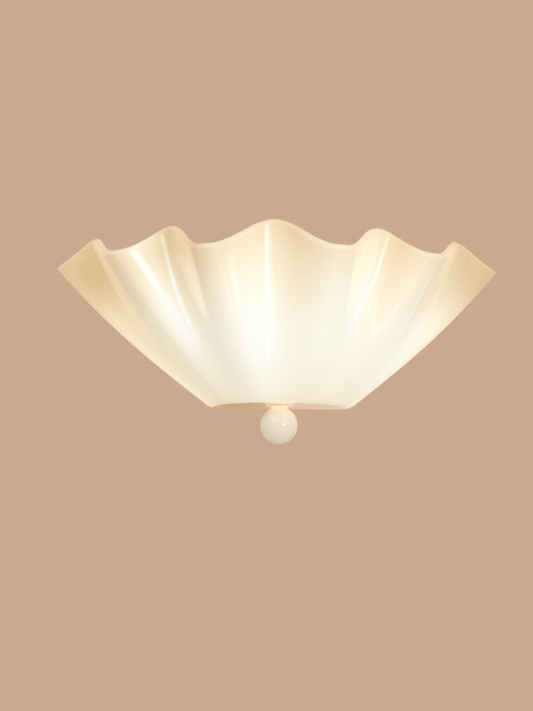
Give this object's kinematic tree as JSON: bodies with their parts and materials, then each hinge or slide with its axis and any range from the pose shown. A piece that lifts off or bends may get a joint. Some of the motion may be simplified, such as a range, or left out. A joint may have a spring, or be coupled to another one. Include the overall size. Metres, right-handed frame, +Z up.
{
  "type": "wall sconce",
  "caption": "Half-bowl wall uplight: a fluted translucent stone shell on a wall bracket, held from below by a ball finial.",
  "frame": {"origin": "centre of the wall plate's slotted hole pattern, on the wall plane", "axes": "+Z up, +Y into the wall, the front of the shade faces -Y, +X to the right seen from the front"},
  "size_m": [0.44, 0.187, 0.208],
  "materials": {
    "alabaster": "polished, translucent, cream with amber clouds",
    "felt": "dense wool felt",
    "brass": "turned",
    "rubber": "matte",
    "white_enamel": "satin powder coat",
    "zinc_steel": "zinc plated",
    "tinned_copper": "tinned",
    "terminal_plastic": "moulded",
    "lead_sheath": "soft sheath",
    "earth_sheath": "soft sheath",
    "holder_plastic": "moulded",
    "nickel": "nickel plated",
    "bulb_plastic": "smooth",
    "board": "solder mask",
    "opal_glass": "opal, lit"
  },
  "bodies": {
    "fixture": {"shade": "alabaster", "wall_bumpers": "felt", "threaded_rod": "brass", "base_pad": "rubber", "clamp_washer": "brass", "rod_nuts": "brass", "wall_plate": "white_enamel", "support_arm": "white_enamel", "arm_screws": "zinc_steel", "lamp_bar": "white_enamel", "holder_posts": "zinc_steel", "post_nuts": "zinc_steel", "lamp_holder_left": "holder_plastic", "lamp_holder_right": "holder_plastic", "holder_sleeve_left": "brass", "holder_sleeve_right": "brass", "holder_contact_left": "brass", "holder_contact_right": "brass", "terminal_block": "terminal_plastic", "terminal_screws": "zinc_steel", "block_screw": "zinc_steel", "cable_grommet": "rubber", "earth_tag": "tinned_copper", "earth_screw": "brass", "lamp_lead_left": "lead_sheath", "lamp_lead_right": "lead_sheath", "earth_lead": "earth_sheath"},
    "collar": {"neck_collar": "alabaster", "finial_gasket": "rubber"},
    "finial": {"finial_ball": "alabaster", "finial_insert": "brass"},
    "bulb_left": {"bulb_left_contact": "tinned_copper", "bulb_left_cap": "nickel", "bulb_left_housing": "bulb_plastic", "bulb_left_led_board": "board", "bulb_left_diffuser": "opal_glass"},
    "bulb_right": {"bulb_right_contact": "tinned_copper", "bulb_right_cap": "nickel", "bulb_right_housing": "bulb_plastic", "bulb_right_led_board": "board", "bulb_right_diffuser": "opal_glass"}
  },
  "joints": [
    {"name": "collar_drop", "type": "slide", "parent": "fixture", "child": "collar", "axis": [0, 0, -1], "range_m": [0, 0.012]},
    {"name": "finial_turn", "type": "hinge", "parent": "collar", "child": "finial", "pos_m": [0, -0.038, -0.07], "axis": [0, 0, -1], "range_deg": [0, 4320]},
    {"name": "bulb_left_turn", "type": "hinge", "parent": "fixture", "child": "bulb_left", "pos_m": [-0.042, -0.038, 0], "axis": [0, 0, 1], "range_deg": [0, 900]},
    {"name": "bulb_right_turn", "type": "hinge", "parent": "fixture", "child": "bulb_right", "pos_m": [0.042, -0.038, 0], "axis": [0, 0, 1], "range_deg": [0, 900]}
  ],
  "couplings": [
    {"joint": "finial_turn", "follows": "collar_drop", "rad_per_m": 6283.2}
  ]
}
